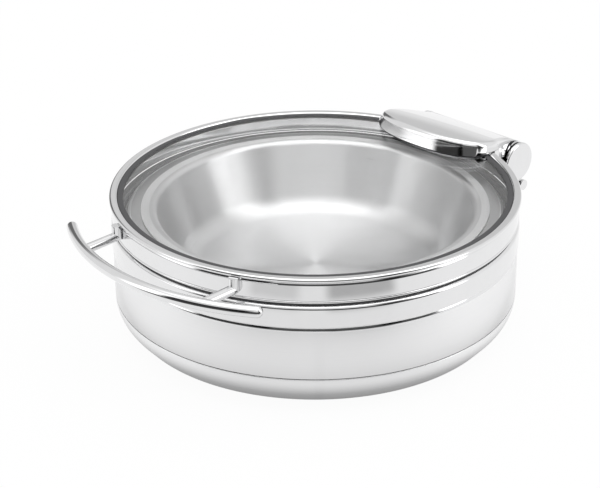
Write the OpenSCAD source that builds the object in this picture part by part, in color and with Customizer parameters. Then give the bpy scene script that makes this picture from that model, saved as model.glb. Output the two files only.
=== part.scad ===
// Round induction chafing dish with a damped glass lid.
// Origin: centre of the base on the table. +Z up, handle towards -Y, hinge towards +Y. Millimetres.

/* [Base] */
// Thickness of the magnetic steel cap
base_t = 0.8; // [0.5:0.1:2]
// Radius of the aluminium heat-spreading disc
disc_r = 150; // [120:1:160]
// Thickness of the heat-spreading disc
disc_t = 3.2; // [2:0.1:6]
// Chamfer round the disc's lower edge
disc_edge = 1; // [0.8:0.1:1.5]
// Inside bend radius of the cap's upturned edge
base_bend = 0.6; // [0.4:0.1:1]
// How far the cap's upturned edge stops below the disc's top
base_short = 1; // [0.5:0.1:1.5]

/* [Water pan] */
// Outer radius of the upright wall
pan_r = 214.5; // [190:0.5:240]
// Height of the shell from its underside to its top edge
pan_h = 115.8; // [105:0.1:140]
// Sheet thickness of the shell
pan_t = 1.5; // [1:0.1:2.5]
// How far the haunch cuts in from the wall, at the underside
haunch_in = 20; // [16:0.5:28]
// How far the haunch rises up the wall
haunch_up = 23; // [18:0.5:30]
// Bend radius from haunch to wall
haunch_r = 30; // [20:1:40]
// Bend radius from underside to haunch
foot_r = 15; // [8:1:18]
// Height of the fine groove above the underside
groove_z = 36; // [30:0.5:60]
// Depth of the groove
groove_d = 0.6; // [0.3:0.1:0.9]

/* [Rim collar] */
// Height of the polished collar band
collar_h = 22.7; // [16:0.1:34]
// Radial step from the wall out to the collar
collar_step = 2; // [1.8:0.1:4]
// Sheet thickness of the collar
collar_t = 1.5; // [1:0.1:2]
// Bend radius of the collar and ledge
collar_bend = 2; // [1.6:0.1:2.4]
// Radial gap between the riser and the gasket's inner edge
riser_gap = 4.4; // [1:0.1:8]
// Height of the ledge above the collar's top
ledge_up = 6.9; // [5:0.1:9]
// Width of the ledge
ledge_w = 24.4; // [18:0.1:32]
// Height of the ledge's down-turned inner edge
ledge_lip = 6; // [4:0.1:10]
// Width of the soft seal on the collar
seal_w = 6; // [4:0.1:8]
// How far the seal stays inside the collar's bend
seal_set = 1.2; // [0.8:0.1:2]

/* [Food pan] */
// How far the flange reaches out over the ledge
flange_lap = 10.7; // [6:0.1:16]
// Radial gap between the mouth and the ledge's opening
mouth_gap = 5; // [3:0.1:12]
// How far the wall slopes in from mouth to bottom
well_in = 30; // [10:0.5:40]
// Depth from flange to bottom
well_depth = 71; // [50:1:80]
// Sheet thickness of the food pan
well_t = 1.2; // [0.8:0.1:2]
// Bend radius between wall and bottom
well_bend = 16; // [8:1:24]
// Bend radius between flange and wall
mouth_bend = 7; // [4:0.5:10]

/* [Lid rim] */
// Gap of the seam between collar and lid
seam = 2.9; // [2:0.1:4]
// Height of the skirt below the bead
skirt_h = 22.9; // [14:0.1:30]
// Step from the skirt in from the collar
skirt_step = 1; // [0:0.1:2]
// Sheet thickness of the rim
rim_t = 1.2; // [0.8:0.1:2]
// Width of the rounded bead
bead_w = 8.7; // [6.5:0.1:12]
// Height of the rounded bead
bead_h = 4.4; // [4:0.1:6]
// How far the bead stands out past the skirt
bead_out = 2; // [1:0.1:3]
// Radius of the rolled hem at the skirt's lower edge
hem_r = 1.4; // [1:0.1:1.8]
// How far the hem stands out past the skirt
hem_out = 0.4; // [0.2:0.05:0.6]

/* [Glass] */
// Thickness of the glass
glass_t = 5; // [4:0.1:6]
// Width of the gasket that shows
gasket_w = 6; // [5:0.1:8]
// Thickness of the gasket's lips
gasket_t = 1; // [0.8:0.1:1.5]
// Depth of the gasket's top below the bead's top
gasket_drop = 1.1; // [0.8:0.1:1.6]
// Width of the bevel on the gasket's inner lip
lip_bevel = 1.5; // [1:0.1:2]
// How far the glass reaches into the gasket
glass_in = 3.6; // [3:0.1:3.8]
// Radial gap of the clamp screws in the glass
hole_gap = 1.5; // [1:0.1:2]

/* [Handle] */
// Diameter of the bar
bar_d = 12; // [8:0.5:14]
// Radius to which the bar is curved
bar_r = 243; // [225:1:270]
// Gap for the fingers between bead and bar, in the middle
finger_gap = 38.5; // [30:0.5:60]
// Half the angle that the bar spans
bar_half = 34; // [30:0.5:40]
// Height of the bar's centre below the bead's top
bar_drop = 15.6; // [12:0.1:18]
// Distance between the two posts
post_pitch = 172; // [140:1:190]
// Diameter of the posts
post_d = 10; // [7:0.5:11]

/* [Hinge] */
// Distance of the hinge axis behind the collar
axis_back = 40.5; // [36:0.5:50]
// Height of the hinge axis below the collar's top
axis_drop = 1; // [0:0.5:4]
// Outer diameter of the barrel
barrel_d = 45; // [41:0.5:46]
// Length of the barrel
barrel_l = 120; // [110:1:130]
// Bore of the barrel
barrel_bore = 37; // [32:0.5:38]
// Diameter of the shaft
shaft_d = 12; // [10:0.5:14]
// Length of a bush inside the barrel
bush_l = 12; // [8:0.5:16]
// Width of a bush's flange outside the bore
bush_lip = 1.2; // [1:0.1:1.8]
// Thickness of a bush's flange
bush_flange_t = 1.6; // [1.2:0.1:2.5]
// Thickness of a cheek
cheek_t = 3; // [2.5:0.1:4]
// Outer diameter of a cheek's eye
cheek_d = 44; // [40:0.5:45]
// Length of a cap's neck
neck_l = 2; // [1.5:0.1:3]
// Diameter of a cap's neck
neck_d = 28; // [24:0.5:32]
// Diameter of the end caps
cap_d = 45; // [42:0.5:46]
// Thickness of an end cap
cap_t = 5.5; // [5:0.1:8]
// Radius of the rounded edge round a cap's face
cap_edge = 2; // [1.5:0.1:2.5]
// Radius to which a cap's face is crowned
cap_crown_r = 300; // [150:10:600]
// Depth of the shaft's socket in a cap's disc
cap_socket = 3.5; // [2.5:0.1:3.6]

/* [Hinge bracket] */
// Thickness of the saddle
saddle_t = 8; // [6:0.1:10]
// Height of the saddle
saddle_h = 31; // [26:0.5:33]
// Gap between saddle and collar
saddle_gap = 4; // [2:0.1:6]
// Thickness of the backing plate
backing_t = 3; // [2:0.1:5]
// Height that the backing plate lacks of the saddle's
backing_short = 3; // [1:0.5:6]
// Angle of the backing plate past its screws
backing_past = 4; // [3:0.5:6]
// Diameter of the bracket screws
bolt_d = 6; // [5:0.5:8]
// Diameter of the bracket screws' heads
bolt_head_d = 10.8; // [9:0.1:14]
// Height of the bracket screws' heads
bolt_head_h = 3; // [2:0.1:4]
// Solid metal in front of the bracket screws' holes
bolt_cover = 2; // [1.5:0.1:3]
// Angle of the bracket screws either side of the middle
bolt_angle = 7; // [5:0.5:9]
// Height between the rows of bracket screws
bolt_pitch = 16; // [12:0.5:18]
// Diameter of the rolled lower edge
roll_d = 12; // [9:0.5:13]
// How far the rolled edge lies behind the hinge axis
roll_back = 13; // [8:0.5:16]
// Height of the rolled edge's centre below the hinge axis
roll_drop = 33; // [32:0.5:36]
// How far the rolled edge stops short of the caps' faces
roll_short = 3.5; // [2:0.1:5]
// Thickness of the cradle plate under the barrel
cradle_t = 4; // [3:0.1:5]
// How far the cheeks stay inside the saddle's upper and lower edges
cheek_inset = 2; // [1:0.1:4]

/* [Hinge cover] */
// Half the width of the cover at its widest
cover_half = 77.5; // [74:0.5:80]
// How far the tongue reaches in over the lid from the bead's outer edge
tongue_l = 59; // [54:0.5:64]
// Length of the rounded nose of the tongue
nose_l = 38; // [32:0.5:42]
// How far the cover reaches back past the hinge axis
cover_past = 2; // [0:0.1:5]
// How far the cover's sides reach past the barrel's ends at the back
cover_side = 1; // [0.5:0.1:1.5]
// Height of the notch from the front wall's lower edge up to the sides' lower edge
notch_h = 4; // [3:0.1:5]
// Distance of the notch from the cover's front
notch_in = 20; // [17:0.5:24]
// Gap at the parting line between the cover's sides and the arm's flanks
part_gap = 0.6; // [0.4:0.1:1]
// Gap between the cover's lower edge and the barrel's top at the back
barrel_gap = 0.6; // [0.4:0.1:1]
// Height of the crown above the barrel's top at the back
crown_back = 2.5; // [2.2:0.1:4]
// Length of the solid lip at the cover's back
lip_l = 9; // [6:0.5:12]
// Height of the crown above its lower edge
crown_h = 16.5; // [15:0.1:18]
// How much lower the crown lies at its sides than in the middle
crown_dome = 2; // [0:0.1:4]
// Distance of the line from which the crown falls to the back, from the cover's front
fall_in = 15; // [10:0.5:24]
// How far the cover's walls lean in up to the rounded edge
wall_lean = 3; // [2:0.1:4]
// Wall of the cover
cover_t = 2; // [1.5:0.1:3]
// Radius of the rounded edge round the crown
crown_edge = 6; // [4:0.1:7]
// Thickness of the soft pad on the glass
pad_t = 1.9; // [1.7:0.1:4]
// Thickness of the soft pad under the glass
under_pad_t = 1.2; // [0.8:0.1:2]
// Thickness of the clamp plate
clamp_t = 3; // [2.5:0.1:4]
// Thickness of the arm's pad
arm_t = 6; // [5:0.1:7]
// How far the arm's pad stays inside the cover's front edge
arm_inset = 12; // [10:0.5:14]
// How far the arm's pad and web stop short of the barrel's ends
arm_short = 14; // [12:0.5:18]
// Height of the arm's flanks at their front
flank_h = 6; // [4:0.5:8]
// Distance of the flanks' front behind the notch
flank_back = 3.5; // [3:0.1:6]
// Gap between the arm's flanks and the eyes of the cheeks
eye_gap = 1.5; // [1:0.1:3]
// Gap between the bead and the arm's web behind it
web_gap = 2; // [1:0.1:3]
// How far the upper pad and the arm's flanks stay inside the cover's outline, and the pads inside the gasket
pad_inset = 0.6; // [0.4:0.1:2]
// How far the lower pad and the clamp plate stay inside the cover's outline
under_inset = 8; // [6:0.5:12]
// Width of the lower pad's edge that shows round the clamp plate
plate_inset = 1; // [0.5:0.1:2]
// Distance of the clamp screws from the cover's front
clamp_in = 25; // [23:0.5:27]
// Diameter of the clamp screws
clamp_d = 5; // [4:0.5:6]
// Distance between the clamp screws across the hinge
clamp_pitch = 76; // [60:1:80]
// Distance between the two rows of clamp screws
clamp_rows = 14; // [12:0.5:16]

/* [Hidden] */
$fn = 96;

// Clearance between pieces that move past each other
move_gap = 0.4;
// Clearance between curved faces that are fixed together
seat_gap = 0.1;
// Radial running clearance of the shaft in its bushes
run_gap = 0.05;
// Radial clearance of screws and press-in pieces
fit_gap = 0.05;
// Length by which a cut passes the face that it opens
over = 1;

// Length of a press-in piece's bevelled end
lead_in = 0.5;
// Bevel on the shaft's ends and on the back of the caps
shaft_edge = 1;
// Gap at either end of a damper
damper_gap = 0.2;
// Clearance of a countersunk head in its seat
head_gap = 0.2;
// How far the wall round the gasket stands back from the bead's inner face
wall_set = 0.2;
// How far the seat under the gasket stops short of the gasket's inner edge
seat_set = 1;
// Thickness of the gasket's bevelled lip at its inner edge
lip_nose = 0.1;
// How far a post's stud reaches up past the bead's underside
stud_up = 1.2;
// The bar's rounded ends are a hair thinner than the bar and start inside it
dome_step = 0.03;
dome_in = 0.5;

// Levels of the fixed body
pan_z = base_t + disc_t;
pan_top = pan_z + pan_h;
collar_top = pan_top + collar_t;
collar_r = pan_r + collar_step;
ledge_top = collar_top + ledge_up;

// The haunch's bend, limited to the slope that the foot's bend leaves
haunch_slope = atan2(haunch_up, haunch_in);
haunch_room = norm([haunch_in, haunch_up]) - foot_r * tan(haunch_slope / 2) - over;
haunch_bend = min(haunch_r, haunch_room / tan((90 - haunch_slope) / 2));

// Levels of the lid
lid_z = collar_top + seam;
skirt_r = collar_r - skirt_step;
bead_z = lid_z + skirt_h;
bead_top = bead_z + bead_h;
bead_r = skirt_r + bead_out;
bead_in_r = bead_r - bead_w;
gasket_top = bead_top - gasket_drop;
glass_top = gasket_top - gasket_t / 2;
glass_z = glass_top - glass_t;
gasket_z = glass_z - gasket_t;
glass_r = bead_in_r - gasket_w + glass_in;
gasket_in_r = bead_in_r - gasket_w;

// Ledge inside the lid, and the food pan that hangs on it
riser_r = gasket_in_r - riser_gap;
ledge_in_r = riser_r - ledge_w;
flange_r = ledge_in_r + flange_lap;
mouth_r = ledge_in_r - mouth_gap;
well_r = mouth_r - well_in;

// Hinge axis and the stations along it
axis_y = collar_r + axis_back;
axis_z = collar_top - axis_drop;
barrel_x = barrel_l / 2;
flange_x = barrel_x + bush_flange_t;
cheek_x = flange_x + move_gap;
neck_x = cheek_x + cheek_t;
cap_x = neck_x + neck_l;
shaft_x = cap_x + cap_socket;

// Saddle, backing plate and screws of the hinge bracket
saddle_top = collar_top - collar_h - saddle_gap;
saddle_mid = saddle_top - saddle_h / 2;
saddle_in = pan_r + seat_gap;
saddle_half = asin((cap_x + cap_t / 2) / (saddle_in + saddle_t));
backing_out = pan_r - pan_t - seat_gap;
backing_half = bolt_angle + backing_past;
backing_h = saddle_h - backing_short;
bolt_end = saddle_in + saddle_t - bolt_cover;
roll_x = cap_x + cap_t - roll_short;
// Depth at which the cheeks and the cradle start, inside the wall
root_y = sqrt(saddle_in * saddle_in - roll_x * roll_x) - over;
// Angles at which a cheek's leg leaves its eye
leg_low = -60;
leg_high = 125;

// Handle: depth of the centre to which the bar is curved, and the bar's height
bar_c = bar_r - bead_r - finger_gap - bar_d / 2;
bar_z = bead_top - bar_drop;

// Stack of the glass clamp
cover_z = glass_top + pad_t;
plate_top = glass_z - under_pad_t;
cover_front = bead_r - tongue_l;
clamp_y = cover_front + clamp_in;
arm_half = barrel_x - arm_short;

// Angles at which the arm's web and flanks leave the barrel
web_low = 172;
web_high = 100;
flank_low = 150;

// Stations and falls of the crowned cover
cover_mid = cover_front + nose_l;
cover_back = axis_y + cover_past;
back_half = barrel_x + cover_side;
notch_y = cover_front + notch_in;
notch_l = notch_h / 2;
barrel_top = axis_z + barrel_d / 2;
edge_drop = cover_z + notch_h - barrel_top - barrel_gap;
crown_drop = cover_z + crown_h - barrel_top - crown_back;
// Distance of the crown's spine from the front and back edges
spine_in = nose_l * 0.75;
// Fullness of the nose's corners, and steepness of the crown's fall
nose_power = 2.3;
fall_power = 1.5;
fall_y = cover_front + fall_in;
// Points round the cover's outline, and their shares up to the end of the nose and of the side
cover_n = 96;
nose_share = 0.5;
side_share = 0.9;
// Most of the cover's height that the rounded edge takes
round_share = 0.8;

// Functions for outlines

// Points of an arc about c from angle a0 to a1
function arc(c, r, a0, a1) = let (n = max(2, ceil(abs(a1 - a0) / 7.5)))
    [for (i = [0:n]) let (a = a0 + (a1 - a0) * i / n) c + r * [cos(a), sin(a)]];

// Unit vector along v, and v turned a quarter turn to the left
function unit(v) = v / norm(v);
function left(v) = [-v.y, v.x];
function cross2(a, b) = a.x * b.y - a.y * b.x;

// Corner p1 of the path p0, p1, p2 rounded to radius r
function bend(p0, p1, p2, r) = let (
    d0 = unit(p1 - p0),
    d1 = unit(p2 - p1),
    turn = atan2(cross2(d0, d1), d0 * d1),
    side = sign(turn),
    c = p1 - d0 * r * tan(abs(turn) / 2) + side * r * left(d0),
    start = atan2(-side * left(d0).y, -side * left(d0).x)
) arc(c, r, start, start + turn);

// Path moved d to its left, with mitred corners
function shifted(path, d) = [for (i = [0:len(path) - 1]) let (
    d0 = unit(i == 0 ? path[1] - path[0] : path[i] - path[i - 1]),
    d1 = unit(i == len(path) - 1 ? path[i] - path[i - 1] : path[i + 1] - path[i])
) path[i] + d * (left(d0) + left(d1)) / (1 + d0 * d1)];

// Side of the turn at corner i of a path: 1 to the left, -1 to the right
function turn_side(path, i) = sign(cross2(path[i] - path[i - 1], path[i + 1] - path[i]));

// Path moved d to its left, with corner i rounded to radii[i - 1] on the path itself
function formed(path, radii, d) = let (p = shifted(path, d), last = len(path) - 1)
    concat([p[0]], [for (i = [1:last - 1])
        each bend(p[i - 1], p[i], p[i + 1], max(0.2, radii[i - 1] - d * turn_side(path, i)))], [p[last]]);

function reversed(v) = [for (i = [len(v) - 1:-1:0]) v[i]];

// Section of a sheet of thickness t, to the left of a path with rounded corners
module sheet(path, radii, t) {
    polygon(concat(formed(path, radii, 0), reversed(formed(path, radii, t))));
}

// Bodies of revolution and placing

module turned() {
    rotate_extrude($fn = 180) children();
}

// Part of a turned ring, half an angle to either side of +Y
module ring_part(half) {
    rotate([0, 0, 90 - half]) rotate_extrude(angle = 2 * half, $fn = 180) children();
}

// Children along +X from the hinge axis, turned so that their Z becomes X
module on_axis(x) {
    translate([x, axis_y, axis_z]) rotate([90, 0, 90]) children();
}

module mirror_x(flip) {
    mirror([flip ? 1 : 0, 0, 0]) children();
}

// Screws of the bracket, their axes pointing out through the wall
module at_bolts() {
    for (a = [-bolt_angle, bolt_angle], s = [-1, 1])
        rotate([0, 0, a]) translate([0, 0, saddle_mid + s * bolt_pitch / 2]) rotate([-90, 0, 0]) children();
}

// Clamp screws, pointing up
module at_clamps() {
    for (x = [-1, 1], y = [-1, 1])
        translate([x * clamp_pitch / 2, clamp_y + y * clamp_rows / 2, 0]) children();
}

// Base

module induction_base() {
    out = disc_r + seat_gap + base_t;
    path = [[0, 0], [out, 0], [out, pan_z - base_short]];
    color("darkgray") turned() sheet(path, [base_t + base_bend], base_t);
}

module heat_disc() {
    color("lightgray") translate([0, 0, base_t]) turned()
        polygon([[0, 0], [disc_r - disc_edge, 0], [disc_r, disc_edge], [disc_r, disc_t], [0, disc_t]]);
}

// Water pan

module water_pan() {
    path = [[0, pan_z], [pan_r - haunch_in, pan_z], [pan_r, pan_z + haunch_up], [pan_r, pan_top]];
    wall = formed(path, [foot_r, haunch_bend], 0);
    gz = pan_z + groove_z;
    groove_r = lookup(gz, [for (p = wall) [p.y, p.x]]);
    color("gainsboro") difference() {
        turned() difference() {
            sheet(path, [foot_r, haunch_bend], pan_t);
            translate([groove_r, gz]) circle(groove_d, $fn = 24);
        }
        at_bolts() cylinder(d = bolt_d + 2 * fit_gap, h = pan_r + over);
    }
}

module rim_collar() {
    ledge_path = [[collar_r, collar_top - collar_h], [collar_r, collar_top], [riser_r, collar_top],
        [riser_r, ledge_top], [ledge_in_r, ledge_top], [ledge_in_r, ledge_top - ledge_lip]];
    color("whitesmoke") turned() sheet(ledge_path, [for (i = [1:4]) collar_bend], collar_t);
}

// Soft ring on the collar's top, on which the lid closes
module lid_seal() {
    out = collar_r - collar_bend - seal_set;
    color("dimgray") translate([0, 0, collar_top]) turned()
        translate([out - seal_w, 0]) square([seal_w, seam - move_gap]);
}

// Food pan, hung on the ledge by its flange

module food_pan() {
    z = ledge_top + move_gap + well_t;
    path = [[flange_r, z], [mouth_r, z], [well_r, z - well_depth], [0, z - well_depth]];
    color("silver") turned() sheet(path, [mouth_bend, well_bend], well_t);
}

// Lid

// Section of the bead, grown by extra: two half rounds with a flat between them
module bead_section(extra = 0) {
    r = bead_h / 2;
    z = bead_z + r;
    polygon(concat(arc([bead_r - r, z], r + extra, -90, 90), arc([bead_in_r + r, z], r + extra, 90, 270)));
}

module lid_rim() {
    mid_z = bead_z + bead_h / 2;
    seat_z = gasket_z - rim_t;
    wall_in_r = bead_in_r + wall_set;
    seat_in_r = gasket_in_r + seat_set;
    color("whitesmoke") turned() {
        bead_section();
        translate([skirt_r - rim_t, lid_z + hem_r]) square([rim_t, mid_z - lid_z - hem_r]);
        translate([skirt_r + hem_out - hem_r, lid_z + hem_r]) circle(hem_r, $fn = 32);
        translate([wall_in_r, seat_z]) square([rim_t, mid_z - seat_z]);
        translate([seat_in_r, seat_z]) square([wall_in_r + rim_t / 2 - seat_in_r, rim_t]);
    }
}

module lid_gasket() {
    out = bead_in_r - seat_gap;
    slot_r = glass_r + seat_gap;
    color("dimgray") turned()
        polygon([[gasket_in_r, gasket_z], [out, gasket_z], [out, gasket_top],
            [gasket_in_r + lip_bevel, gasket_top], [gasket_in_r, glass_top + lip_nose],
            [gasket_in_r, glass_top], [slot_r, glass_top], [slot_r, glass_z], [gasket_in_r, glass_z]]);
}

module lid_glass() {
    color("lightcyan", 0.4) difference() {
        translate([0, 0, glass_z]) cylinder(r = glass_r, h = glass_t, $fn = 180);
        at_clamps() translate([0, 0, glass_z - over])
            cylinder(d = clamp_d + 2 * hole_gap, h = glass_t + 2 * over, $fn = 32);
    }
}

// Handle

module bar_ring(extra = 0) {
    translate([0, bar_c, bar_z]) rotate_extrude($fn = 180) translate([bar_r, 0])
        circle(bar_d / 2 + extra, $fn = 48);
}

module handle_bar() {
    r = bar_d / 2;
    dome_r = r - dome_step;
    dome = concat([[0, -dome_in], [dome_r, -dome_in]], arc([0, 0], dome_r, 0, 90));
    color("whitesmoke") translate([0, bar_c, bar_z]) {
        rotate([0, 0, 270 - bar_half]) rotate_extrude(angle = 2 * bar_half, $fn = 180)
            translate([bar_r, 0]) circle(r, $fn = 48);
        for (a = [-1, 1])
            rotate([0, 0, 270 + a * bar_half]) translate([bar_r, 0, 0]) rotate([-90 * a, 0, 0])
                rotate_extrude($fn = 48) polygon(dome);
    }
}

// Half of space on the far side of the mitre between a post's arm and its stud
module mitre(side) {
    rotate([45, 0, 0]) translate([-post_d, (side - 1) * 2 * post_d, -2 * post_d])
        cube([2, 4, 4] * post_d);
}

// Post at +X: an arm along Y, a mitred elbow and a stud up to the bead
module handle_post() {
    x = post_pitch / 2;
    stud_r = skirt_r + post_d / 2 + seat_gap;
    stud_y = -sqrt(stud_r * stud_r - x * x);
    bar_y = bar_c - sqrt(bar_r * bar_r - x * x);
    color("whitesmoke") difference() {
        translate([x, stud_y, bar_z]) {
            difference() {
                translate([0, post_d, 0]) rotate([90, 0, 0])
                    cylinder(d = post_d, h = stud_y + post_d - bar_y, $fn = 48);
                mitre(1);
            }
            difference() {
                translate([0, 0, -post_d])
                    cylinder(d = post_d, h = post_d + bead_z + stud_up - bar_z, $fn = 48);
                mitre(-1);
            }
        }
        bar_ring(seat_gap);
        turned() {
            square([skirt_r + seat_gap, bead_top]);
            bead_section(seat_gap);
        }
    }
}

module handle_post_left() {
    mirror_x(true) handle_post();
}

module handle_post_right() {
    handle_post();
}

// Hinge, fixed side

module backing_plate() {
    color("silver") difference() {
        ring_part(backing_half) translate([backing_out - backing_t, saddle_mid - backing_h / 2])
            square([backing_t, backing_h]);
        at_bolts() cylinder(d = bolt_d + 2 * fit_gap, h = pan_r + over);
    }
}

// Outline of a cheek in Y and Z: an eye on the hinge axis and a leg to the saddle
module cheek_outline() {
    r = cheek_d / 2;
    axis = [axis_y, axis_z];
    translate(axis) circle(r);
    polygon([[root_y, saddle_top - saddle_h + cheek_inset], axis + r * [cos(leg_low), sin(leg_low)], axis,
        axis + r * [cos(leg_high), sin(leg_high)], [root_y, saddle_top - cheek_inset]]);
}

module hinge_bracket() {
    roll_y = axis_y + roll_back;
    roll_z = axis_z - roll_drop;
    color("whitesmoke") difference() {
        union() {
            ring_part(saddle_half) translate([saddle_in - over, saddle_top - saddle_h])
                square([saddle_t + over, saddle_h]);
            for (s = [0, 1])
                mirror_x(s == 1) translate([cheek_x, 0, 0]) rotate([90, 0, 90])
                    linear_extrude(cheek_t) cheek_outline();
            translate([-roll_x, root_y, roll_z - cradle_t / 2])
                cube([2 * roll_x, roll_y - root_y, cradle_t]);
            translate([-roll_x, roll_y, roll_z]) rotate([0, 90, 0])
                cylinder(d = roll_d, h = 2 * roll_x, $fn = 48);
        }
        cylinder(r = saddle_in, h = axis_z, $fn = 180);
        translate([0, 0, saddle_top + over]) cylinder(r = collar_r + over, h = axis_z, $fn = 180);
        translate([-cap_x, axis_y, axis_z]) rotate([0, 90, 0])
            cylinder(d = shaft_d + 2 * fit_gap, h = 2 * cap_x, $fn = 48);
        at_bolts() cylinder(d = bolt_d + 2 * fit_gap, h = bolt_end);
    }
}

module bracket_screws() {
    head_r = backing_out - backing_t - seat_gap;
    color("silver") at_bolts() {
        translate([0, 0, head_r]) cylinder(d = bolt_d, h = bolt_end - over - head_r, $fn = 32);
        translate([0, 0, head_r - bolt_head_h]) rotate_extrude($fn = 32)
            polygon([[0, 0], [bolt_d / 2, 0], [bolt_head_d / 2, bolt_head_h / 2],
                [bolt_head_d / 2, bolt_head_h], [0, bolt_head_h]]);
    }
}

module hinge_shaft() {
    r = shaft_d / 2;
    color("gray") translate([-shaft_x, axis_y, axis_z]) rotate([0, 90, 0]) rotate_extrude($fn = 48)
        polygon([[0, 0], [r - shaft_edge, 0], [r, shaft_edge], [r, 2 * shaft_x - shaft_edge],
            [r - shaft_edge, 2 * shaft_x], [0, 2 * shaft_x]]);
}

// Cap at +X: a neck against the cheek and a disc with a rounded edge and a slightly crowned face
module end_cap() {
    r = cap_d / 2;
    socket_r = shaft_d / 2 + fit_gap;
    socket_end = shaft_x - neck_x + move_gap;
    crown_c = [0, neck_l + cap_t - cap_crown_r];
    tilt = asin((r - cap_edge) / (cap_crown_r - cap_edge));
    edge_c = crown_c + (cap_crown_r - cap_edge) * [sin(tilt), cos(tilt)];
    color("whitesmoke") on_axis(neck_x) rotate_extrude($fn = 96)
        polygon(concat([[socket_r, 0], [neck_d / 2, 0], [neck_d / 2, neck_l], [r - shaft_edge, neck_l],
            [r, neck_l + shaft_edge]], arc(edge_c, cap_edge, 0, 90 - tilt),
            arc(crown_c, cap_crown_r, 90 - tilt * 2 / 3, 90), [[0, socket_end], [socket_r, socket_end]]));
}

module end_cap_left() {
    mirror_x(true) end_cap();
}

module end_cap_right() {
    end_cap();
}

// Hinge, side of the lid

// Outline of the arm in Y and Z: pad on the glass, web behind the bead, down to the hinge axis
module arm_outline() {
    r = barrel_d / 2;
    axis = [axis_y, axis_z];
    front = cover_front + arm_inset;
    back = bead_r + web_gap;
    top = cover_z + arm_t;
    polygon([[front, cover_z], [back, cover_z], [back + web_gap, cover_z - web_gap],
        axis + r * [cos(web_low), sin(web_low)], axis, axis + r * [cos(web_high), sin(web_high)],
        [bead_in_r, top], [front, top]]);
}

// Outline of the flanks in Y and Z, below the cover's parting line
module flank_outline() {
    r = barrel_d / 2;
    axis = [axis_y, axis_z];
    front = notch_y + notch_l + flank_back;
    polygon([[front, cover_z - flank_h], axis + r * [cos(flank_low), sin(flank_low)], axis, axis + [0, r],
        [front, edge_z(front) - part_gap]]);
}

// Flanks of the arm, flush with the cover's sides, clear of the lid's rim and of the cheeks' eyes
module arm_flanks() {
    difference() {
        intersection() {
            translate([-cover_half, 0, 0]) rotate([90, 0, 90]) linear_extrude(2 * cover_half) flank_outline();
            linear_extrude(cover_z + crown_h)
                polygon([for (i = [0:cover_n - 1]) cover_point(i, pad_inset, cover_back)]);
        }
        cylinder(r = bead_r + web_gap, h = cover_z, $fn = 180);
        for (s = [0, 1])
            mirror_x(s == 1) on_axis(barrel_x)
                cylinder(d = max(cheek_d, cap_d) + 2 * eye_gap, h = cover_half);
    }
}

module hinge_arm() {
    color("silver") difference() {
        union() {
            translate([-arm_half, 0, 0]) rotate([90, 0, 90]) linear_extrude(2 * arm_half) arm_outline();
            arm_flanks();
            translate([-barrel_x, axis_y, axis_z]) rotate([0, 90, 0]) cylinder(d = barrel_d, h = barrel_l);
        }
        translate([-barrel_x - over, axis_y, axis_z]) rotate([0, 90, 0])
            cylinder(d = barrel_bore, h = barrel_l + 2 * over);
        at_clamps() translate([0, 0, cover_z - over])
            cylinder(d = clamp_d + 2 * fit_gap, h = arm_t, $fn = 32);
    }
}

// Bush at +X
module bush() {
    socket_r = shaft_d / 2 + run_gap;
    plug_r = barrel_bore / 2 - fit_gap;
    lip_r = barrel_bore / 2 + bush_lip;
    color("dimgray") on_axis(barrel_x) rotate_extrude($fn = 96)
        polygon([[socket_r, -bush_l], [plug_r - lead_in, -bush_l], [plug_r, lead_in - bush_l], [plug_r, 0],
            [lip_r, 0], [lip_r, bush_flange_t], [socket_r, bush_flange_t]]);
}

module bush_left() {
    mirror_x(true) bush();
}

module bush_right() {
    bush();
}

// Damper cartridge at +X, between the middle of the barrel and the bush
module damper() {
    socket_r = shaft_d / 2 + run_gap;
    case_r = barrel_bore / 2 - fit_gap;
    length = barrel_x - bush_l - 2 * damper_gap;
    color("dimgray") on_axis(damper_gap) rotate_extrude($fn = 96)
        polygon([[socket_r, 0], [case_r - lead_in, 0], [case_r, lead_in], [case_r, length - lead_in],
            [case_r - lead_in, length], [socket_r, length]]);
}

module damper_left() {
    mirror_x(true) damper();
}

module damper_right() {
    damper();
}

// Crowned cover

// Half width of the cover at depth y: full round corners in front, drawn in to the barrel at the back
function cover_width(y) = y < cover_mid
    ? cover_half * pow(1 - pow((cover_mid - y) / nose_l, nose_power), 1 / nose_power)
    : back_half + (cover_half - back_half) * (1 + cos(180 * (y - cover_mid) / (cover_back - cover_mid))) / 2;

// Height of the lower edge at depth y: level in front, up over the notch, then down to the barrel
function edge_z(y) = cover_z + (y < notch_y + notch_l ? notch_h * max(0, y - notch_y) / notch_l
    : notch_h - edge_drop * (y - notch_y - notch_l) / (cover_back - notch_y - notch_l));

// Height of the crown at x, y: domed across, and falling to the barrel at the back
function crown_z(x, y) = cover_z + crown_h - crown_dome * pow(x / cover_half, 2)
    - crown_drop * pow(max(0, y - fall_y) / (cover_back - fall_y), fall_power);

// Point i of the outline moved in by d, with its back edge at depth back
function cover_point(i, d, back) = let (
    u = i / cover_n,
    s = u < 0.5 ? 2 * u : 2 - 2 * u,
    along = (s - nose_share) / (side_share - nose_share),
    depth = s < nose_share ? 2 * s * s : min(1, (1 + along) / 2),
    y = cover_front + d + (back - cover_front - 2 * d) * depth,
    at = cover_width(cover_front + (back - cover_front) * depth),
    w = (at - d * min(1, at / cover_half)) * (s < side_share ? 1 : (1 - s) / (1 - side_share))
) [u < 0.5 ? w : -w, y];

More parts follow.
